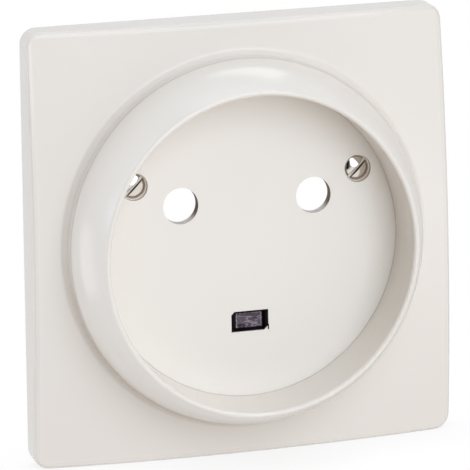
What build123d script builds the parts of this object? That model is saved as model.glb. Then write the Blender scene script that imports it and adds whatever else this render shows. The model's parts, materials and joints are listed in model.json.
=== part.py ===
from build123d import *
import os
from math import cos, radians, sin, sqrt, tan

# Front cover of an earthed wall socket: a crowned square plate with a round collar,
# two captive screws and a dark insert in the earth opening. Millimetres, +Z up.
# The wall is the plane y = 0. The cover stands on its -Y side, and depths count from the wall.

# Plate
PLATE_SIZE = 60.0
PLATE_CORNER_R = 2.2
PLATE_RISE = 6.0        # wall to the face, at the foot of the collar
CROWN_R = 220.0         # the face is part of a large ball
EDGE_BEVEL = 0.3        # front edge taken off
SIDE_DRAFT = 1.0        # degrees, so that the sides leave the mould
SKIN = 2.0              # thickness of the face
SKIRT = 2.0             # thickness of the side walls

# Collar around the dish
DISH_R = 21.45          # at the mouth of the dish
COLLAR_HEIGHT = 10.0    # crest above the foot
LIP_R = 0.45            # inner half of the rounded crest
SHOULDER_R = 0.4        # outer half of the rounded crest
SHOULDER_ANGLE = 29.3   # degrees between the top of the flank and the axis
FOOT_BEVEL = 0.55       # narrow bevel where the flank meets the face
DISH_DRAFT = 0.5        # degrees
COLLAR_WALL = 1.6       # left on both sides of the groove that cores the collar
CORE_DEPTH = 4.0

# Floor of the dish
FLOOR_RISE = 1.7        # front of the floor above the collar's foot
FLOOR_T = 1.6
PIN_PITCH = 19.0
PIN_LINE_Z = 5.5        # the pins lie above the middle of the plate
PIN_HOLE_D = 5.0

# Captive screws, slotted, with raised countersunk heads
SCREW_PITCH = 32.0
SCREW_LINE_Z = 8.65
THREAD_D = 2.0
THREAD_LENGTH = 3.2
THREAD_STANDOFF = 0.3   # from the pad to the first turn
TIP_CHAMFER = 0.3
NECK_D = 1.5            # under the head, thinner than the thread
NECK_CLEARANCE = 0.2    # on the diameter; the thread can't follow through
HEAD_D = 3.4
HEAD_DOME = 0.45
CONE_ANGLE = 90.0       # degrees, full angle of head and seat
SLOT_W = 0.45
SLOT_DEPTH = 0.6
SLOT_TURN = 45.0        # degrees
SEAT_D = 3.8            # mouth of the sunk seat
SEAT_SINK = 0.4         # straight part of the seat above its cone
PAD_D = 6.6             # thickening behind the floor
PAD_H = 1.5

# Earth opening, and the insert that fills it from behind
EARTH_Z = -11.1
EARTH_W = 5.3
EARTH_H = 2.8
KEY_HIGH = 0.45         # filled corner at the top left
KEY_LOW = 0.6           # filled corner at the bottom right, larger: the insert goes in one way round
NOSE_CLEARANCE = 0.06   # each side
NOSE_SUNK = 0.1         # front of the insert below the floor
RIM_X = 0.35            # rim of the insert at its ends
RIM_Z = 0.15            # rim of the insert above and below
PANE_W = 3.65
PANE_H = 2.0
PANE_SUNK = 0.6         # pane below the rim
FLANGE_LAP = 1.1        # flange behind the floor, each side
FLANGE_T = 1.0
CATCH_T = 1.1           # two catches hold the flange against the floor
CATCH_W = 2.4
CATCH_LAP = 0.3
CATCH_HOOK = 0.6
CATCH_CLEARANCE = 0.08

# Webs from the collar to the corners
WEB_T = 1.2
WEB_SETBACK = 1.0       # the webs stay this far from the wall

# Values worked out from those above
CREST = PLATE_RISE + COLLAR_HEIGHT
CREST_R = DISH_R + LIP_R
LEAN = radians(SHOULDER_ANGLE)
FLANK_R = CREST_R / cos(LEAN) + SHOULDER_R      # the flank is part of a ball on the collar's axis
FLANK_CENTRE = CREST - SHOULDER_R - CREST_R * tan(LEAN)
COLLAR_FOOT_R = sqrt(FLANK_R**2 - (PLATE_RISE - FLANK_CENTRE)**2)
FLOOR_FRONT = PLATE_RISE + FLOOR_RISE
FLOOR_BACK = FLOOR_FRONT - FLOOR_T
FLANGE_BACK = FLOOR_BACK - FLANGE_T
PAD_BACK = FLOOR_BACK - PAD_H
CROWN_CENTRE = sqrt(CROWN_R**2 - COLLAR_FOOT_R**2) - PLATE_RISE
REACH = PLATE_SIZE / sqrt(2)
CONE_SLOPE = tan(radians(CONE_ANGLE / 2))
NECK_HOLE_D = NECK_D + NECK_CLEARANCE
SEAT_CONE_TOP = FLOOR_FRONT - SEAT_SINK
HEAD_EDGE = SEAT_CONE_TOP - (SEAT_D - HEAD_D) / 2 / CONE_SLOPE
PIN_SPOTS = [(-PIN_PITCH / 2, PIN_LINE_Z), (PIN_PITCH / 2, PIN_LINE_Z)]
SCREW_SPOTS = [(-SCREW_PITCH / 2, SCREW_LINE_Z), (SCREW_PITCH / 2, SCREW_LINE_Z)]


def slab(sketch, back, front, taper=0.0):
    """A flat shape, drawn as seen from the front, carried from one depth to another."""
    return extrude(Plane.XZ.offset(back) * sketch, front - back, taper=taper)


def rod(diameter, back, front, spot):
    """A round bar square to the wall."""
    return slab(Pos(*spot) * Circle(diameter / 2), back, front)


def path(*points):
    """Straight lines through points given as radius and depth."""
    return Polyline(*[(r, -d) for r, d in points])


def turned(face):
    """A half section, turned about the axis of the collar."""
    return revolve(Plane.XY * face, Axis.Y)


def crown(radius):
    """Depth of the crowned face at a radius."""
    return sqrt(CROWN_R**2 - radius**2) - CROWN_CENTRE


def flank(depth):
    """Radius of the collar's flank at a depth."""
    return sqrt(FLANK_R**2 - (depth - FLANK_CENTRE)**2)


def front_section():
    """Half section of the front: floor, drafted dish wall, rolled crest, swelling flank, bevel and crown."""
    wall_top = CREST - LIP_R
    floor_r = DISH_R - tan(radians(DISH_DRAFT)) * (wall_top - FLOOR_FRONT)
    crest = (CREST_R, -CREST)
    shoulder = CREST - SHOULDER_R * (1 - sin(LEAN))
    foot = PLATE_RISE + FOOT_BEVEL
    toe = COLLAR_FOOT_R + FOOT_BEVEL
    outline = [
        path((0, 0), (0, FLOOR_FRONT), (floor_r, FLOOR_FRONT), (DISH_R, wall_top)),
        TangentArc(crest, (DISH_R, -wall_top), tangent=(-1, 0)),
        TangentArc(crest, (flank(shoulder), -shoulder), tangent=(1, 0)),
        ThreePointArc(*[(flank(depth), -depth) for depth in (shoulder, (shoulder + foot) / 2, foot)]),
        path((flank(foot), foot), (toe, crown(toe))),
        ThreePointArc(*[(r, -crown(r)) for r in (toe, (toe + REACH) / 2, REACH)]),
        path((REACH, crown(REACH)), (REACH, 0), (0, 0)),
    ]
    return make_face(outline)


def hollow_section():
    """Half section of the space behind: the well behind the floor and the sloping underside of the face."""
    ring_back = PLATE_RISE - SKIN
    behind = -PLATE_RISE
    return make_face(path(
        (0, behind),
        (0, FLOOR_BACK),
        (DISH_R, FLOOR_BACK),
        (DISH_R, ring_back),
        (COLLAR_FOOT_R, ring_back),
        (REACH, crown(REACH) - SKIN),
        (REACH, behind),
        (0, behind),
    ))


def core_section():
    """Half section of the groove that keeps the collar's walls even."""
    inner = DISH_R + COLLAR_WALL
    outer = COLLAR_FOOT_R - COLLAR_WALL
    tip = PLATE_RISE - SKIN + CORE_DEPTH
    return make_face(path((inner, 0), (outer, 0), (outer, tip), (inner, tip), (inner, 0)))


def shell():
    """Crowned plate, collar and floor in one skin, trimmed to the square outline."""
    outline = RectangleRounded(PLATE_SIZE, PLATE_SIZE, PLATE_CORNER_R)
    block = turned(front_section()) & slab(outline, 0, CREST, SIDE_DRAFT)
    far = PLATE_SIZE / 2 - SKIRT
    rim = [e for e in block.edges() if e.center().Y < -EDGE_BEVEL and e.distance_to((0, 0, 0)) > far]
    block = chamfer(rim, EDGE_BEVEL)
    inside = PLATE_SIZE - 2 * SKIRT
    inner_outline = RectangleRounded(inside, inside, max(PLATE_CORNER_R - SKIRT, EDGE_BEVEL))
    hollow = turned(hollow_section()) & slab(inner_outline, 0, CREST, SIDE_DRAFT)
    return block - hollow - turned(core_section())


def webs():
    """Four thin webs that tie the collar to the corners of the skirt, up to the middle of the skin."""
    start = COLLAR_FOOT_R - COLLAR_WALL / 2
    end = REACH - PLATE_CORNER_R
    side = make_face(path(
        (start, WEB_SETBACK),
        (start, crown(start) - SKIN / 2),
        (end, crown(end) - SKIN / 2),
        (end, WEB_SETBACK),
        (start, WEB_SETBACK),
    ))
    web = extrude(Plane.XY * side, WEB_T / 2, both=True)
    return [Rot(0, turn, 0) * web for turn in (45, 135, 225, 315)]


def catch(side):
    """One hooked catch behind the floor; side is -1 for left and 1 for right."""
    near = EARTH_W / 2 + FLANGE_LAP + CATCH_CLEARANCE
    hook = near - CATCH_CLEARANCE - CATCH_LAP
    tip = FLANGE_BACK - CATCH_HOOK
    outline = path(
        (near, FLOOR_BACK),
        (near + CATCH_T, FLOOR_BACK),
        (near + CATCH_T, tip),
        (near, tip),
        (hook, FLANGE_BACK - CATCH_LAP),
        (hook, FLANGE_BACK),
        (near, FLANGE_BACK),
        (near, FLOOR_BACK),
    )
    arm = extrude(Plane.XY * make_face(outline), CATCH_W / 2, both=True)
    return Pos(0, 0, EARTH_Z) * (arm if side > 0 else mirror(arm, Plane.YZ))


def screw_seat():
    """Room for one screw: sunk mouth, cone and neck hole."""
    neck_r = NECK_HOLE_D / 2
    cone_back = SEAT_CONE_TOP - (SEAT_D - NECK_HOLE_D) / 2 / CONE_SLOPE
    mouth = FLOOR_FRONT + SEAT_SINK
    outline = path(
        (0, 0), (neck_r, 0), (neck_r, cone_back), (SEAT_D / 2, SEAT_CONE_TOP), (SEAT_D / 2, mouth), (0, mouth), (0, 0)
    )
    return turned(make_face(outline))


def earth_opening():
    """Rectangular opening with two corners filled."""
    x = EARTH_W / 2
    z = EARTH_H / 2
    high = [(-x, z - KEY_HIGH), (-x + KEY_HIGH, z)]
    low = [(x, -z + KEY_LOW), (x - KEY_LOW, -z)]
    return make_face(Polyline(*high, (x, z), *low, (-x, -z), close=True))


def cover_plate():
    """The whole front moulding, in one piece."""
    body = shell() + webs()
    body += [rod(PAD_D, PAD_BACK, FLOOR_BACK, spot) for spot in SCREW_SPOTS]
    body += [catch(-1), catch(1)]
    for spot in PIN_SPOTS:
        body -= rod(PIN_HOLE_D, 0, CREST, spot)
    for x, z in SCREW_SPOTS:
        body -= Pos(x, 0, z) * screw_seat()
    return body - Pos(0, 0, EARTH_Z) * slab(earth_opening(), FLANGE_BACK, CREST)


def fixing_screw():
    """One captive screw: slotted raised head on its cone, thin neck and thread."""
    thread_top = PAD_BACK - THREAD_STANDOFF
    tip = thread_top - THREAD_LENGTH
    top = HEAD_EDGE + HEAD_DOME
    neck_r = NECK_D / 2
    thread_r = THREAD_D / 2
    outline = [
        path(
            (0, top),
            (0, tip),
            (thread_r - TIP_CHAMFER, tip),
            (thread_r, tip + TIP_CHAMFER),
            (thread_r, thread_top),
            (neck_r, thread_top),
            (neck_r, HEAD_EDGE - (HEAD_D / 2 - neck_r) / CONE_SLOPE),
            (HEAD_D / 2, HEAD_EDGE),
        ),
        TangentArc((0, -top), (HEAD_D / 2, -HEAD_EDGE), tangent=(1, 0)),
    ]
    slot = Rot(0, 0, SLOT_TURN) * Rectangle(2 * HEAD_D, SLOT_W)
    return turned(make_face(outline)) - slab(slot, top - SLOT_DEPTH, top + SLOT_DEPTH)


def earth_insert():
    """Dark insert: keyed nose with a sunk pane, and a flange behind the floor."""
    front = FLOOR_FRONT - NOSE_SUNK
    nose = offset(earth_opening(), -NOSE_CLEARANCE, kind=Kind.INTERSECTION)
    flange = Rectangle(EARTH_W + 2 * FLANGE_LAP, EARTH_H + 2 * FLANGE_LAP)
    mouth = Rectangle(EARTH_W - 2 * (NOSE_CLEARANCE + RIM_X), EARTH_H - 2 * (NOSE_CLEARANCE + RIM_Z))
    pocket = loft([Plane.XZ.offset(front) * mouth, Plane.XZ.offset(front - PANE_SUNK) * Rectangle(PANE_W, PANE_H)])
    body = slab(nose, FLOOR_BACK, front) + slab(flange, FLANGE_BACK, FLOOR_BACK) - pocket
    return Pos(0, 0, EARTH_Z) * body


os.makedirs("parts", exist_ok=True)
screws = Compound(children=[Pos(x, 0, z) * fixing_screw() for x, z in SCREW_SPOTS])
export_step(cover_plate(), "parts/cover_plate.step")
export_step(screws, "parts/fixing_screws.step")
export_step(earth_insert(), "parts/earth_insert.step")
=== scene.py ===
# %% [markdown]
# # The front cover of a wall socket
# The object is the front cover of an earthed wall socket: one glossy moulding with a square
# crowned plate and a round collar, two slotted screws and a dark insert below the pin holes.
# The CAD frame already holds every piece at its true place, in metres, with the wall at y = 0
# and the front towards -Y. This lesson gives the pieces their finish and makes the turned
# details that a plain solid lacks.

# %% Load the frame
import bpy
import bmesh
import json
import math
from mathutils import Matrix, Vector


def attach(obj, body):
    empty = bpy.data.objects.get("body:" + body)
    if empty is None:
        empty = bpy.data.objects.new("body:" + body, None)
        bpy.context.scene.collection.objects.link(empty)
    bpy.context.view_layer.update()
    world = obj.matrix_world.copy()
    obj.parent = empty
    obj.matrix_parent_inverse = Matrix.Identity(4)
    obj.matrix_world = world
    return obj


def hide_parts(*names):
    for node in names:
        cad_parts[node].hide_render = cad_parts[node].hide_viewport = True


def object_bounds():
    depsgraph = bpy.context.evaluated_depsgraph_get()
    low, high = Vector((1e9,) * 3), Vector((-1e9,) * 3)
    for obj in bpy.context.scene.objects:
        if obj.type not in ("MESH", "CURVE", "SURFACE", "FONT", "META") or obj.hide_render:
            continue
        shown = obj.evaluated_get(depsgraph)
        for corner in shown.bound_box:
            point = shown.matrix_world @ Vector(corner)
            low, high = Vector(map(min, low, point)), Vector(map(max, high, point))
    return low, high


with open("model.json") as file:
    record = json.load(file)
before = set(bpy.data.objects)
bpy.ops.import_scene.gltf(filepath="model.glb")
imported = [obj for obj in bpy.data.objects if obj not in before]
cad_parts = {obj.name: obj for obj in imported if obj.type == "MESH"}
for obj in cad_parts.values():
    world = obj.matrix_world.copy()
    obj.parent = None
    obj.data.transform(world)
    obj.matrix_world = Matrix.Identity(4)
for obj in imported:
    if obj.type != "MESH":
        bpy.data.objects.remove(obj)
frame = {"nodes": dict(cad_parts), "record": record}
cad_box = [list(corner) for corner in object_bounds()]
scene = bpy.context.scene
MM = 0.001
print("CAD box in mm:", [[round(v / MM, 2) for v in corner] for corner in cad_box])

# %% [markdown]
# ## The camera
# Upright edges stay upright in the photo, although it is taken from above. Product
# photographers get that with a view camera: the picture plane stays level and only the lens is
# moved. A lens shift could do it, but it would stay on when the camera looks from other sides.
# So the camera hangs on a tripod, an empty, and the link between them holds the slanted view:
# two axes along the level picture plane, and a third one along the line of sight.

# %% Hang the camera on its tripod
STAND = Vector((-142.955, -531.180, 133.020)) * MM
AIM = Vector((-1.414, -6.0, 0.471)) * MM      # the point in the middle of the picture
YAW = math.radians(15.227)                    # the camera stands to the left
ROLL = math.radians(1.2395)
LENS = 309.94                                 # focal length, in Blender's millimetres
NEAREST = 10 * MM

level = Vector((math.cos(YAW), -math.sin(YAW), 0))
upright = Vector((0, 0, 1))
across = level * math.cos(ROLL) - upright * math.sin(ROLL)
upwards = level * math.sin(ROLL) + upright * math.cos(ROLL)
sight = (STAND - AIM).normalized()
slant = Matrix((across, upwards, sight)).transposed().to_4x4()

tripod = bpy.data.objects.new("tripod", None)
camera = bpy.data.objects.new("camera", bpy.data.cameras.new("camera"))
for thing in (tripod, camera):
    scene.collection.objects.link(thing)
camera.parent = tripod
camera.matrix_parent_inverse = Matrix.Translation(STAND) @ slant
camera.data.lens = LENS
camera.data.clip_start = NEAREST
scene.camera = camera
scene.view_settings.view_transform = "Standard"
print("camera stands %.0f mm from the middle of the picture" % ((STAND - AIM).length / MM))

# %% [markdown]
# ## Shader sums as plain Python
# A material is a graph of nodes, and a graph is easier to read as sums. The small class below
# wraps one socket. An operator between two of them adds a Math node, and `node` adds any other
# node from its type, its settings and the values or links of its sockets. A socket is named by
# its words, or by its number as in `i0` where two sockets share a name.

# %% A small class for shader sums
class Shade:
    """One output socket of a node tree."""

    def __init__(self, tree, socket):
        self.tree = tree
        self.socket = socket

    def node(self, kind, settings=None, **sockets):
        made = self.tree.nodes.new(kind)
        for name, value in (settings or {}).items():
            setattr(made, name, value)
        for name, value in sockets.items():
            key = int(name[1:]) if name[1:].isdigit() else name.replace("_", " ")
            self.feed(made.inputs[key], value)
        return made

    def feed(self, socket, value):
        if isinstance(value, Shade):
            self.tree.links.new(value.socket, socket)
        else:
            socket.default_value = value

    def of(self, made, output=0):
        return Shade(self.tree, made.outputs[output])

    def sum(self, operation, first, second=0.0):
        return self.of(self.node("ShaderNodeMath", {"operation": operation}, i0=first, i1=second))

    def __add__(self, other):
        return self.sum("ADD", self, other)

    def __radd__(self, other):
        return self.sum("ADD", other, self)

    def __sub__(self, other):
        return self.sum("SUBTRACT", self, other)

    def __rsub__(self, other):
        return self.sum("SUBTRACT", other, self)

    def __mul__(self, other):
        return self.sum("MULTIPLY", self, other)

    def __rmul__(self, other):
        return self.sum("MULTIPLY", other, self)

    def __truediv__(self, other):
        return self.sum("DIVIDE", self, other)

    def over(self, level):
        """1 where this is above a level, else 0."""
        return self.sum("GREATER_THAN", self, level)

    def under(self, level):
        """1 where this is below a level, else 0."""
        return self.sum("LESS_THAN", self, level)

    def at_least(self, other):
        return self.sum("MAXIMUM", self, other)

    def at_most(self, other):
        return self.sum("MINIMUM", self, other)

    def size(self):
        return self.sum("ABSOLUTE", self)

    def sign(self):
        return self.sum("SIGN", self)

    def root(self):
        return self.sum("SQRT", self)

    def wave(self):
        return self.sum("SINE", self)

    def ramp(self, start, end):
        """0 at start, 1 at end and smooth between."""
        smooth = {"interpolation_type": "SMOOTHSTEP"}
        return self.of(self.node("ShaderNodeMapRange", smooth, Value=self, From_Min=start, From_Max=end))

    def blend(self, a, b):
        """Colour a where this is 0, colour b where it is 1."""
        return self.of(self.node("ShaderNodeMix", {"data_type": "RGBA"}, i0=self, i6=a, i7=b), 2)


# %% [markdown]
# A few helpers on top of the class serve every finish: a new material, its sockets, soft noise,
# fine relief, and the coordinates of the spot that is painted. All of them use object
# coordinates, which are metres in the CAD frame here, so that a mask can use the CAD sizes.

# %% Helpers for finishes
def new_finish(name):
    """A new material: its shader node, and the object coordinates to paint it by."""
    material = bpy.data.materials.new(name)
    material.use_nodes = True
    tree = material.node_tree
    place = tree.nodes.new("ShaderNodeTexCoord")
    return material, tree.nodes["Principled BSDF"], Shade(tree, place.outputs["Object"])


def dress(shader, place, **sockets):
    """Give sockets of a shader their values or links."""
    for name, value in sockets.items():
        place.feed(shader.inputs[name.replace("_", " ")], value)


def spots(place, scale, detail=2.0):
    """Soft noise, with one cell of about 1 / scale metres."""
    return place.of(place.node("ShaderNodeTexNoise", None, Vector=place, Scale=scale, Detail=detail))


def relief(height, depth, **base):
    """The normal of a surface with fine relief, on a base Normal where one is given."""
    return height.of(height.node("ShaderNodeBump", None, Distance=depth, Height=height, **base))


def axes(place):
    """The three coordinates of a place."""
    split = place.node("ShaderNodeSeparateXYZ", None, Vector=place)
    return [place.of(split, axis) for axis in "XYZ"]


def reach(a, b):
    """The length of a flat vector."""
    return (a * a + b * b).root()


# %% [markdown]
# ## Studio
# The photo is a cut-out on white. A pale floor sweeps up into a backdrop, and both look white to
# the camera and in reflections, while the light that they give to the object stays plain. The
# sheet starts as one face: its back edge is extruded upwards, and a bevel rounds the fold.

# %% Floor and backdrop in one sheet
FLOOR_Z = cad_box[0][2]
SIDE, FRONT, BACK = 3.0, -3.0, 1.0            # edges of the floor, in metres
BACKDROP_TALL, BEND, BEND_STEPS = 2.5, 0.6, 16


def as_object(name, shape):
    """An object in the scene from a bmesh, which is freed."""
    mesh = bpy.data.meshes.new(name)
    shape.to_mesh(mesh)
    shape.free()
    made = bpy.data.objects.new(name, mesh)
    scene.collection.objects.link(made)
    return made


def points_of(geometry):
    """The vertices among the elements that a bmesh operator made."""
    return [element for element in geometry if isinstance(element, bmesh.types.BMVert)]


sweep = bmesh.new()
floor_edges = ((-SIDE, FRONT), (SIDE, FRONT), (SIDE, BACK), (-SIDE, BACK))
sweep.faces.new([sweep.verts.new((across_floor, deep, FLOOR_Z)) for across_floor, deep in floor_edges])
fold = [edge for edge in sweep.edges if all(point.co.y > 0 for point in edge.verts)]
raised = bmesh.ops.extrude_edge_only(sweep, edges=fold)
bmesh.ops.translate(sweep, verts=points_of(raised["geom"]), vec=(0, 0, BACKDROP_TALL))
bmesh.ops.bevel(sweep, geom=fold, offset=BEND, offset_type="OFFSET", affect="EDGES",
                segments=BEND_STEPS, profile=0.5, material=-1)
bmesh.ops.recalc_face_normals(sweep, faces=sweep.faces)
studio = as_object("studio_sweep", sweep)
studio.data.shade_smooth()
studio.visible_diffuse = False
studio.visible_shadow = False
print("floor and backdrop:", len(studio.data.polygons), "faces")

# %% [markdown]
# The paper of that sheet is grey to the light, and glows white for the camera, in reflections and
# through glass. Close to the object the white gives way to the paper, by an Ambient Occlusion
# node, and that is the soft shadow where the cover meets the floor.

# %% White paper
WHITE, PALE_GREY = (1, 1, 1, 1), (0.8, 0.8, 0.8, 1)
SHADOW_REACH, SHADOW_DEPTH = 10 * MM, 0.25

paper, shader, place = new_finish("white_paper")
dress(shader, place, Base_Color=PALE_GREY, Roughness=0.9)
rays = place.node("ShaderNodeLightPath")
by_view = place.of(rays, "Is Camera Ray")
by_mirror = place.of(rays, "Is Glossy Ray") + place.of(rays, "Is Transmission Ray")
occluded = place.node("ShaderNodeAmbientOcclusion", {"samples": 8}, Distance=SHADOW_REACH)
lit_up = 1 - SHADOW_DEPTH + SHADOW_DEPTH * place.of(occluded, "AO")
white = (by_view + by_mirror).at_most(1.0) * lit_up
glow = place.node("ShaderNodeEmission", None, Color=WHITE, Strength=1.0)
mixed = place.node("ShaderNodeMixShader", None, i0=white)
tree = paper.node_tree
tree.links.new(shader.outputs["BSDF"], mixed.inputs[1])
tree.links.new(glow.outputs["Emission"], mixed.inputs[2])
tree.links.new(mixed.outputs["Shader"], tree.nodes["Material Output"].inputs["Surface"])
studio.data.materials.append(paper)
print("the floor's shadow reaches", round(SHADOW_REACH / MM), "mm")

# %% [markdown]
# A card with a square hole stands close behind the cover, out of the picture. It keeps the light
# from behind off the cover's sides, as a table top would. A grid of one face is turned upright,
# inset, and loses its middle.

# %% Card behind the edges
CARD_HOLE, CARD_SIZE, CARD_GAP = 60.4 * MM, 94.0 * MM, 0.4 * MM

sheet = bmesh.new()
bmesh.ops.create_grid(sheet, x_segments=1, y_segments=1, size=CARD_SIZE / 2)
stood_up = Matrix.Rotation(math.radians(90), 3, "X")
bmesh.ops.rotate(sheet, cent=(0, 0, 0), matrix=stood_up, verts=sheet.verts)
bmesh.ops.translate(sheet, vec=(0, CARD_GAP, 0), verts=sheet.verts)
inner = sheet.faces[:]
bmesh.ops.inset_region(sheet, faces=inner, thickness=(CARD_SIZE - CARD_HOLE) / 2)
bmesh.ops.delete(sheet, geom=inner, context="FACES")
card = as_object("edge_card", sheet)
card.data.materials.append(paper)
card.visible_camera = False
card.visible_glossy = False
print("card:", len(card.data.polygons), "faces")

# %% [markdown]
# In the photo the collar mirrors two bright fields, one at its left and one at its top. Two
# glowing cards stand behind the cover for them, turned towards the spot of the collar where they
# show. Only reflections see the cards, so they light nothing else.

# %% Glowing cards for reflections
BLACK = (0, 0, 0, 1)
GLOW_AWAY = 60 * MM
GLOW_CARDS = (  # name, spot on the collar in mm, direction from it, width and height in mm, level
    ("glow_left", (-24, -10, 1), (-0.775, 0.587, -0.235), 24, 34, 2.0),
    ("glow_top", (-1, -10, 24), (0.25, 0.70, 0.67), 36, 26, 2.6),
)


def matt_black(name):
    """A finish that reflects nothing: the material, its shader and its coordinates."""
    material, shader, place = new_finish(name)
    dress(shader, place, Base_Color=BLACK, Specular_IOR_Level=0.0)
    return material, shader, place


def only_mirrored(card):
    """Leave a card to be seen in reflections alone."""
    for kind in ("camera", "diffuse", "transmission", "shadow"):
        setattr(card, "visible_" + kind, False)


for name, spot, direction, wide, tall, strength in GLOW_CARDS:
    lit, shader, place = matt_black(name)
    dress(shader, place, Emission_Color=WHITE, Emission_Strength=strength)
    outwards = Vector(direction).normalized()
    facing = outwards.to_track_quat("Z", "Y").to_matrix()
    flat = bmesh.new()
    bmesh.ops.create_grid(flat, x_segments=1, y_segments=1, size=0.5)
    bmesh.ops.scale(flat, vec=(wide * MM, tall * MM, 1), verts=flat.verts)
    bmesh.ops.rotate(flat, cent=(0, 0, 0), matrix=facing, verts=flat.verts)
    bmesh.ops.translate(flat, vec=Vector(spot) * MM + outwards * GLOW_AWAY, verts=flat.verts)
    glow_card = as_object(name, flat)
    glow_card.data.materials.append(lit)
    only_mirrored(glow_card)
print(len(GLOW_CARDS), "glowing cards")

# %% [markdown]
# Metal looks like metal where it mirrors something dark. A black card lies on the floor at the
# left in front, and again only reflections see it. It draws the dark edge on the screw heads.

# %% Black card for the screw heads
BLACK_CORNERS = ((-29, -30), (-2837, -1590), (-463, -2830), (-34, -60))  # on the floor, in mm
CARD_LIFT = 0.2 * MM

flat = bmesh.new()
lying = [Vector((right, deep, 0)) * MM for right, deep in BLACK_CORNERS]
flat.faces.new([flat.verts.new(corner + Vector((0, 0, FLOOR_Z + CARD_LIFT))) for corner in lying])
black_card = as_object("black_card", flat)
black, shader, place = matt_black("black_paper")
black_card.data.materials.append(black)
only_mirrored(black_card)
print("black card:", len(BLACK_CORNERS), "corners")

# %% [markdown]
# ## Light
# A direction of light is given here by two angles: how far it stands away from straight in
# front, and how far it is turned from the right towards the top. A cool soft box hangs in front,
# above and a little to the right, as the shading inside the dish tells. Another one, low behind
# at the right, lights the hollow back. Both are area lamps, because a broad lamp makes no hard
# shadow.

# %% Soft boxes
MIDDLE = Vector((0, -8 * MM, 0))
SOFT_BOXES = (  # name, how far off the front and how far turned, size in metres, watts, colour
    ("key_box", (22, 68), 0.8, 5.9, (0.88, 1.0, 1.15)),
    ("back_box", (150, 315), 0.5, 5.0, (1, 0.99, 0.97)),
)


def way(off_front, turn):
    """A unit vector from two angles in degrees."""
    off, about = math.radians(off_front), math.radians(turn)
    return Vector((math.sin(off) * math.cos(about), -math.cos(off), math.sin(off) * math.sin(about)))


for name, angles, size, watts, colour in SOFT_BOXES:
    lamp = bpy.data.lights.new(name, "AREA")
    lamp.size = size
    lamp.energy = watts
    lamp.color = colour
    holder = bpy.data.objects.new(name, lamp)
    holder.location = way(*angles)
    holder.rotation_euler = (MIDDLE - holder.location).to_track_quat("-Z", "Y").to_euler()
    scene.collection.objects.link(holder)
print(len(SOFT_BOXES), "soft boxes, one metre away")

# %% [markdown]
# The rest of the light comes from the room: a warm dome in front, and cool panels on the walls.
# Each panel is a smooth step of the angle between its middle and the direction that a ray looks
# in. Most of them stand at the left and above, a little behind the cover: they brighten the
# outside of the collar and leave the right-hand wall of the dish in shade. A dark flag at the
# left in front holds back the light there, which darkens a patch on the screw heads.

# %% Panels of light around the room
PANELS = (  # middle of the panel, half angles of its full and of its fading part, level
    (way(62, 90), 15, 40, 0.66),
    (way(62, 270), 15, 40, 0.94),
    (way(62, 0), 15, 40, 0.24),
    (way(104, 180), 8, 24, 2.15),
    (way(118, 180), 8, 24, 1.00),
    (way(102, 222), 8, 24, 2.45),
    (way(108, 150), 10, 28, 1.40),
    (way(105, 90), 10, 28, 1.05),
    (way(118, 95), 8, 24, 0.60),
    (way(105, 60), 10, 25, 0.80),
)
FLAG, FLAG_FULL, FLAG_FADING = way(42, 170), 22, 28
DOME, DOME_START, DOME_FULL = 0.385, -0.1, 0.35    # level, and where the dome begins and is full
WARM, COOL = (1.20, 1.0, 0.82, 1), (0.96, 1.02, 1.12, 1)
NOT_ZERO = 0.001


def cone(looks, middle, full, fading):
    """1 near a direction, 0 away from it and smooth between."""
    x, y, z = axes(looks)
    near = x * middle.x + y * middle.y + z * middle.z
    return near.ramp(math.cos(math.radians(fading)), math.cos(math.radians(full)))


room = bpy.data.worlds.new("room")
scene.world = room
room.use_nodes = True
sky = room.node_tree.nodes
looks = Shade(room.node_tree, sky.new("ShaderNodeTexCoord").outputs["Generated"])
dome = DOME * (0.0 - axes(looks)[1]).ramp(DOME_START, DOME_FULL)
light = dome
for middle, full, fading, strength in PANELS:
    light = light + strength * cone(looks, middle, full, fading)
tint = (dome / (light + NOT_ZERO)).blend(COOL, WARM)
light = light * (1.0 - cone(looks, FLAG, FLAG_FULL, FLAG_FADING))
by_camera = looks.of(sky.new("ShaderNodeLightPath"), "Is Camera Ray")
looks.feed(sky["Background"].inputs["Color"], by_camera.blend(tint, WHITE))
looks.feed(sky["Background"].inputs["Strength"], light + by_camera * (1.0 - light))
print(len(PANELS), "panels in the room")

# %% [markdown]
# ## Cover
# The cover is moulded from a hard, glossy off-white plastic. Its colour is never quite even: the
# tone drifts and a fine grain runs through it. The dish is painted a lighter cream than the plate,
# painted light that lifts the shade inside the dish. A painted picture could carry that, but two
# noises of different scale fit any view and need no unwrapping.

# %% Tone of the plastic
PLATE_CREAM, LIT_DISH_CREAM = (0.757, 0.717, 0.655, 1), (0.816, 0.780, 0.722, 1)
DISH_EDGE_R, PLATE_EDGE_R = 20 * MM, 27 * MM      # the dish lies inside, the plate outside
DRIFT_SCALE, GRAIN_SCALE = 45.0, 2600.0        # cells in a metre

plastic, shader, place = new_finish("offwhite_moulding")
x, y, z = axes(place)
out = reach(x, z)                              # how far from the middle of the cover
drift = spots(place, DRIFT_SCALE, 1.0)
grain = spots(place, GRAIN_SCALE)
# painted light: the dish is a lighter cream than the plate, to lift the shade inside it
toward_plate = out.ramp(DISH_EDGE_R, PLATE_EDGE_R)
tone = (0.7 + 0.4 * drift + 0.1 * grain - 0.6 * toward_plate).blend(PLATE_CREAM, LIT_DISH_CREAM)
print("tone drifts over about", round(1000 / DRIFT_SCALE), "mm")
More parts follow.
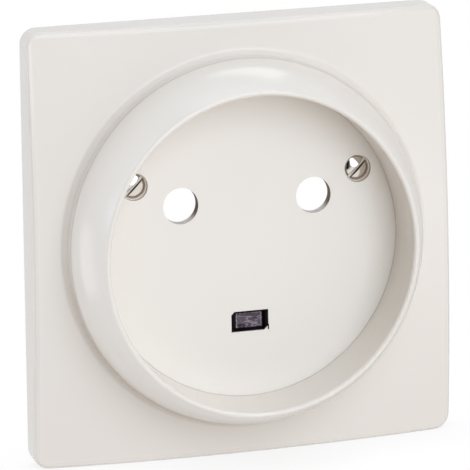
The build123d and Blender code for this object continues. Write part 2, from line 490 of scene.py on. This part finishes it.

# %% [markdown]
# Shade is painted dark where it falls: in the corner around the floor, in the mouths of the screw
# seats and in the crease at the foot of the collar, where this painted shadow grows lower down. The
# seats' cones are a little warmer, from the metal beside them. Every place is a mask: a distance
# from something on the cover, cut at a depth. The places of pins and screws come from the record.

# %% Painted shade in the corners
mounts = {mount["name"]: mount for mount in frame["record"]["mounts"]}
SCREW_X = mounts["screw_shanks"]["dims"]["pcd_mm"] / 2 * MM
SCREW_Z = mounts["screw_shanks"]["pos_m"][2]
SEAT_R = 1.93 * MM
FLOOR_Y, FLOOR_R = -7.70 * MM, 21.38 * MM      # front of the floor, and its rim
FOOT_R, FOOT_SPAN = 25.6 * MM, 1.6 * MM        # the foot of the collar, and what is near it
FOOT_TOP, FOOT_BOTTOM = -7.8 * MM, -4.6 * MM
CREASE_R, FOOT_SHADOW_SPAN = 25.45 * MM, 0.8 * MM
FOOT_SHADOW_HIGH, FOOT_SHADOW_LOW = 5 * MM, -13 * MM         # between them the painted shadow at the foot grows
# colours of the painted shade in the corners and of the painted shadow at the foot
CORNER_SHADE_COLOUR, FOOT_SHADOW_COLOUR = (0.30, 0.24, 0.18, 1), (0.36, 0.28, 0.20, 1)
WARMED = (0.90, 0.76, 0.66, 1)

corner = out.ramp(FLOOR_R - 0.2 * MM, FLOOR_R) * y.over(FLOOR_Y - 0.12 * MM) * y.under(FLOOR_Y + 0.2 * MM)
below = y.over(FLOOR_Y + 0.03 * MM)
off_screw = reach(x.size() - SCREW_X, z - SCREW_Z)
cones = off_screw.under(SEAT_R) * below
mouths = cones * off_screw.ramp(SEAT_R - 0.16 * MM, SEAT_R - 0.06 * MM)
# painted shade: the corner around the floor and the mouths of the seats are darkened
corner_shade = (0.6 * corner + 1.2 * mouths) * (0.4 + 0.3 * grain)
foot = (out - FOOT_R).size().under(FOOT_SPAN) * y.over(FOOT_TOP) * y.under(FOOT_BOTTOM)
lower = 0.25 + 0.75 * z.ramp(FOOT_SHADOW_HIGH, FOOT_SHADOW_LOW)
# painted shadow in the crease at the collar's foot, stronger lower down
foot_shadow = foot * (out - CREASE_R).size().ramp(FOOT_SHADOW_SPAN, 0.1 * MM) * lower
warmed = (0.4 * cones).blend(tone, WARMED)
shaded_tone = (foot_shadow * (0.15 + 0.36 * grain)).blend(corner_shade.blend(warmed, CORNER_SHADE_COLOUR), FOOT_SHADOW_COLOUR)
print("screw seats %.1f mm apart" % (2 * SCREW_X / MM))

# %% [markdown]
# The walls of the pin holes are painted a dark brown shade, lighter along the bottom where light
# falls in. Beside the insert, a thin painted shadow line runs at the corner of the opening that keys it.

# %% Painted shade in the pin holes, and at the keyed corner
hole = mounts["pin_hole_right"]
PIN_X, PIN_Z = hole["pos_m"][0], hole["pos_m"][2]
PIN_R = hole["dims"]["r_mm"] * MM + 0.03 * MM  # takes in the hole's wall
HOLE_SHADE, KEY_SHADE = (0.15, 0.100, 0.068, 1), (0.02, 0.014, 0.012, 1)
KEY_X, KEY_LOW, KEY_HIGH, KEY_HALF = 2.62 * MM, -12.50 * MM, -11.75 * MM, 0.10 * MM

# painted shade on the walls of the pin holes, painted lighter towards their bottom
pins = reach(x.size() - PIN_X, z - PIN_Z).under(PIN_R) * below
lit_bottom = (z - PIN_Z).ramp(-0.4 * PIN_R, -0.9 * PIN_R)
# a painted shadow line beside the keyed corner of the opening
beside_key = (x - KEY_X).size().under(KEY_HALF) * z.over(KEY_LOW) * z.under(KEY_HIGH)
key_shadow_line = beside_key * y.over(FLOOR_Y - 0.1 * MM)
shaded_colour = (pins * (0.95 - 0.85 * lit_bottom)).blend(key_shadow_line.blend(shaded_tone, KEY_SHADE), HOLE_SHADE)
dress(shader, place, Base_Color=shaded_colour)
print("pin holes %.1f mm apart" % (2 * PIN_X / MM))

# %% [markdown]
# The mould was polished where it shows, and use has dulled the plate since, all but a thin line
# along its edge. The hollow back, the crease at the foot and the grime in the pin holes are dull
# too. Roughness adds these up from the masks.

# %% Gloss of the plastic
HALF = cad_box[1][0]                           # half the width of the plate
DULL_SPAN = HALF - 0.85 * MM
DULL_Y = -5.9 * MM                             # the plate and the back lie behind this
DULL_CREASE_R = 25.3 * MM

dull = y.over(DULL_Y) * x.size().under(DULL_SPAN) * z.size().under(DULL_SPAN)
crease = foot * (out - DULL_CREASE_R).size().ramp(0.6 * MM, 0.2 * MM)
matt = 0.3 * dull + 0.7 * pins + 0.35 * crease
dress(shader, place, Roughness=0.15 + 0.06 * drift + 0.04 * grain + matt, IOR=1.5)
print("glossy edge %.2f mm wide" % ((HALF - DULL_SPAN) / MM))

# %% [markdown]
# A moulding has no sharp folds, and its surface is a little wavy. The CAD has flat bevels at the
# collar's foot and at the plate's edge. A Bevel node rounds their shading and leaves the mesh as
# it is, and a very shallow bump on top of it gives the waviness.

# %% Rounded folds and a wavy surface
FOOT_FILLET, EDGE_ROUND = 0.8 * MM, 0.3 * MM
EDGE_SPAN, EDGE_BOTTOM = HALF - 1.2 * MM, -3.5 * MM
WAVE_SCALE, WAVE_DEPTH = 420.0, 0.004 * MM

edge = x.size().at_least(z.size()).over(EDGE_SPAN) * y.under(EDGE_BOTTOM)
rounding = FOOT_FILLET * foot + EDGE_ROUND * edge
rounded = place.of(place.node("ShaderNodeBevel", {"samples": 8}, Radius=rounding))
dress(shader, place, Normal=relief(spots(place, WAVE_SCALE), WAVE_DEPTH, Normal=rounded))
cover = frame["nodes"]["cover_plate"]
cover.data.materials.clear()
cover.data.materials.append(plastic)
print("cover dressed with", len(plastic.node_tree.nodes), "nodes")

# %% [markdown]
# ## Screws
# Two captive screws hold the cover to its contact block. Each one is turned from bar: a raised
# head on a cone, a thin neck that stays in the floor, and a thread behind it. A lathe makes them
# by turning a half outline about an axis, and the spin operator does the same. The dome is
# itself a spin of one point about the middle of a larger ball.

# %% Spin the blank of a screw
HEAD_R, HEAD_TOP, HEAD_EDGE = 1.70 * MM, 7.55 * MM, 7.10 * MM
NECK_R, CONE_END = 0.75 * MM, 6.15 * MM
ROOT_R, THREAD_TOP, TIP = 0.785 * MM, 4.30 * MM, 1.10 * MM
TIP_BEVEL = 0.3 * MM
HEAD_RISE = HEAD_TOP - HEAD_EDGE
BALL_R = (HEAD_R ** 2 + HEAD_RISE ** 2) / (2 * HEAD_RISE)
FULL_TURN = 2 * math.pi
DOME_STEPS, BLANK_STEPS = 10, 64
OUTLINE = (  # radius and depth, from the cone's end to the tip
    (NECK_R, CONE_END), (NECK_R, THREAD_TOP), (ROOT_R, THREAD_TOP),
    (ROOT_R, TIP + TIP_BEVEL), (ROOT_R - TIP_BEVEL, TIP), (0, TIP),
)

turned = bmesh.new()
apex = turned.verts.new((0, -HEAD_TOP, 0))
arc = bmesh.ops.spin(turned, geom=[apex], cent=(0, BALL_R - HEAD_TOP, 0), axis=(0, 0, 1),
                     angle=math.asin(HEAD_R / BALL_R), steps=DOME_STEPS)
last = points_of(arc["geom_last"])[0]
for radius, depth in OUTLINE:
    point = turned.verts.new((radius, -depth, 0))
    turned.edges.new((last, point))
    last = point
bmesh.ops.spin(turned, geom=turned.verts[:] + turned.edges[:], cent=(0, 0, 0), axis=(0, 1, 0),
               angle=FULL_TURN, steps=BLANK_STEPS, use_merge=True)
bmesh.ops.remove_doubles(turned, verts=turned.verts, dist=0.001 * MM)
bmesh.ops.recalc_face_normals(turned, faces=turned.faces)
print("screw blank:", len(turned.faces), "faces, head", round(2 * HEAD_R / MM, 2), "mm across")

# %% [markdown]
# The slot is sawn last, so here too a box is taken out of the finished blank. A Boolean
# modifier does it, and its result is read back as a mesh.

# %% Saw the slot
SLOT_W, SLOT_DEPTH, SLOT_TURN = 0.45 * MM, 0.60 * MM, math.radians(45)

blade = bmesh.new()
bmesh.ops.create_cube(blade, size=1.0)
bmesh.ops.scale(blade, vec=(5 * HEAD_R, 2 * SLOT_DEPTH, SLOT_W), verts=blade.verts)
bmesh.ops.rotate(blade, cent=(0, 0, 0), matrix=Matrix.Rotation(-SLOT_TURN, 3, "Y"), verts=blade.verts)
bmesh.ops.translate(blade, vec=(0, -HEAD_TOP, 0), verts=blade.verts)
saw = as_object("saw", blade)
blank = as_object("blank", turned)
cut = blank.modifiers.new("slot", "BOOLEAN")
cut.object = saw
cut.operation = "DIFFERENCE"
cut.solver = "EXACT"
sawn = bpy.data.meshes.new_from_object(blank.evaluated_get(bpy.context.evaluated_depsgraph_get()))
for helper in (blank, saw):
    bpy.data.objects.remove(helper)
print("sawn screw:", len(sawn.polygons), "faces")

# %% [markdown]
# A thread is a spin that also moves along the axis at each step. Four corners of one ridge go
# round seven times, right-handed, and the ridge runs out at both ends as a rolled thread does.

# %% Roll the thread
PITCH, CREST_R, TURNS, TURN_STEPS = 0.40 * MM, 1.00 * MM, 7, 36
RIDGE_HALF, CREST_HALF, RUN_OUT = 0.16 * MM, 0.03 * MM, 0.3 * MM
BURIED_R = ROOT_R - 0.04 * MM                  # the ridge is rooted a little inside the core
LOWEST = THREAD_TOP - RIDGE_HALF - TURNS * PITCH
SECTION = ((BURIED_R, -RIDGE_HALF), (CREST_R, -CREST_HALF), (CREST_R, CREST_HALF), (BURIED_R, RIDGE_HALF))

screw = bmesh.new()
ridge = screw.faces.new([screw.verts.new((radius, -(LOWEST + along), 0)) for radius, along in SECTION])
wound = bmesh.ops.spin(screw, geom=ridge.edges[:], cent=(0, 0, 0), axis=(0, -1, 0),
                       dvec=(0, -PITCH / TURN_STEPS, 0), angle=TURNS * FULL_TURN, steps=TURNS * TURN_STEPS)
end = [element for element in wound["geom_last"] if isinstance(element, bmesh.types.BMEdge)]
bmesh.ops.contextual_create(screw, geom=end)
for point in screw.verts:
    depth = -point.co.y
    rise = max(0.0, min(1.0, (depth - TIP) / RUN_OUT, (THREAD_TOP - depth) / RUN_OUT))
    radius = math.hypot(point.co.x, point.co.z)
    shrunk = BURIED_R + (radius - BURIED_R) * rise
    point.co.x *= shrunk / radius
    point.co.z *= shrunk / radius
bmesh.ops.recalc_face_normals(screw, faces=screw.faces)
print("thread:", TURNS, "turns,", len(screw.faces), "faces")

# %% [markdown]
# Thread and blank make one screw. It is copied, one goes to each seat, and both together stand
# for the plain screws of the CAD model.

# %% Set both screws in place
SHARP = math.radians(28)                       # folds steeper than this stay sharp

screw.from_mesh(sawn)
copied = bmesh.ops.duplicate(screw, geom=screw.verts[:] + screw.edges[:] + screw.faces[:])
right_points = points_of(copied["geom"])
known = set(right_points)
left_points = [point for point in screw.verts if point not in known]
bmesh.ops.translate(screw, vec=(SCREW_X, 0, SCREW_Z), verts=right_points)
bmesh.ops.translate(screw, vec=(-SCREW_X, 0, SCREW_Z), verts=left_points)
screws = as_object("threaded_screws", screw)
screws.data.shade_smooth()
screws.data.set_sharp_from_angle(angle=SHARP)
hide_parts("fixing_screws")
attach(screws, "root")
print("two screws:", len(screws.data.polygons), "faces")

# %% [markdown]
# The screws are brass with a warm nickel plating. The lathe leaves rings around the axis, so the
# relief is a wave of the distance from it. The sign of x tells which of the two axes is near.
# The floor of the slot is painted pale and not metal, a painted highlight, while its walls are
# painted dark as shade and the edge of the head as a dark reflection. The pale mask starts at that
# floor and has no end behind it, so the neck and the thread are as pale as the floor.

# %% Warm nickel with turning rings
RING_WIDE, RING_DEPTH, CLOUD_SCALE = 0.09 * MM, 0.004 * MM, 900.0
NICKEL, DARK_PAINT, SLOT_HIGHLIGHT = (0.76, 0.71, 0.64, 1), (0.03, 0.022, 0.016, 1), (1.0, 0.92, 0.82, 1)
EDGE_TINT = (0.4, 0.35, 0.3, 1)                # what the plating mirrors at a low angle
WALL_HALF = SLOT_W / 2 + 0.05 * MM
PALE_Y = SLOT_DEPTH - HEAD_TOP - 0.03 * MM     # just in front of the slot's floor

nickel, shader, place = new_finish("turned_nickel")
x, y, z = axes(place)
side = x - SCREW_X * x.sign()
height = z - SCREW_Z
away = reach(side, height)
rings = (away * (FULL_TURN / RING_WIDE)).wave()
cloud = spots(place, CLOUD_SCALE, 3.0)
# painted highlight: the slot's floor and everything behind it are pale and not metal
pale_highlight = y.over(PALE_Y) * away.under(HEAD_R)
off_slot = (height * math.cos(SLOT_TURN) - side * math.sin(SLOT_TURN)).size()
# painted shade on the slot's walls and a painted dark reflection at the edge of the head
slot_wall = off_slot.under(WALL_HALF) * (1.0 - pale_highlight)
head_edge = away.ramp(HEAD_R - 0.06 * MM, HEAD_R - 0.01 * MM)
darkened = (slot_wall + head_edge).at_most(1.0)
plated_and_shaded = (darkened * 0.9 + cloud * 0.1).blend(NICKEL, DARK_PAINT)
dress(shader, place, Base_Color=pale_highlight.blend(plated_and_shaded, SLOT_HIGHLIGHT), Specular_Tint=EDGE_TINT,
      Metallic=1.0 - pale_highlight, Roughness=0.06 + 0.1 * cloud + 0.2 * darkened,
      Normal=relief(rings * 0.15 + cloud * 2.0, RING_DEPTH))
screws.data.materials.append(nickel)
print("turning rings every", round(RING_WIDE / MM, 2), "mm")

# %% [markdown]
# ## Insert
# A dark insert closes the earth opening. Its rim is smooth and nearly black. The sunk pane in it
# is a little paler, a purple grey with fine pale lines that run mostly across, painted glints, and
# a painted highlight line at each side. The lines are the levels of a noise that is stretched
# sideways. One material does both: the depth below the rim tells which is which.

# %% Dark insert with a lined pane
RIM_Y, PANE_Y = -7.60 * MM, -7.00 * MM
PANE_X, BORDER_HALF = 1.72 * MM, 0.07 * MM     # where the pane's side lines run
STRETCH, RIPPLE_SCALE, SPECK_SCALE = (0.4, 1.0, 1.0), 1100.0, 6000.0
LINES, RIPPLE_DEPTH = 42.0, 0.3 * MM
RIM_BLACK = (0.002, 0.0006, 0.0015, 1)
PANE_DARK, PANE_PALE = (0.016, 0.009, 0.016, 1), (0.36, 0.29, 0.35, 1)

dark, shader, place = new_finish("dark_insert")
x, y, z = axes(place)
pane = y.ramp(PANE_Y - 0.12 * MM, PANE_Y - 0.03 * MM) * y.under(PANE_Y + 0.05 * MM)
stretched = place.of(place.node("ShaderNodeVectorMath", {"operation": "MULTIPLY"}, i0=place, i1=STRETCH))
ripples = spots(stretched, RIPPLE_SCALE)
specks = spots(place, SPECK_SCALE)
# painted glints: pale lines along the levels of the stretched noise
glint_lines = (ripples * LINES).wave().ramp(0.4, 1.0)
# painted highlight lines along the pane's two sides
side_highlight = (x.size() - PANE_X).size().under(BORDER_HALF)
grey = (0.25 * ripples.ramp(0.3, 0.7) + 0.5 * glint_lines + 0.35 * side_highlight).blend(PANE_DARK, PANE_PALE)
dress(shader, place, Base_Color=pane.blend(RIM_BLACK, grey), Roughness=0.3 + 0.1 * specks,
      Specular_IOR_Level=0.08, Coat_Weight=0.35 * pane, Coat_Roughness=0.1,
      Normal=relief(ripples * pane + 0.05 * specks, RIPPLE_DEPTH))
insert = frame["nodes"]["earth_insert"]
insert.data.materials.clear()
insert.data.materials.append(dark)
print("insert dressed, pane sunk", round((PANE_Y - RIM_Y) / MM, 2), "mm")
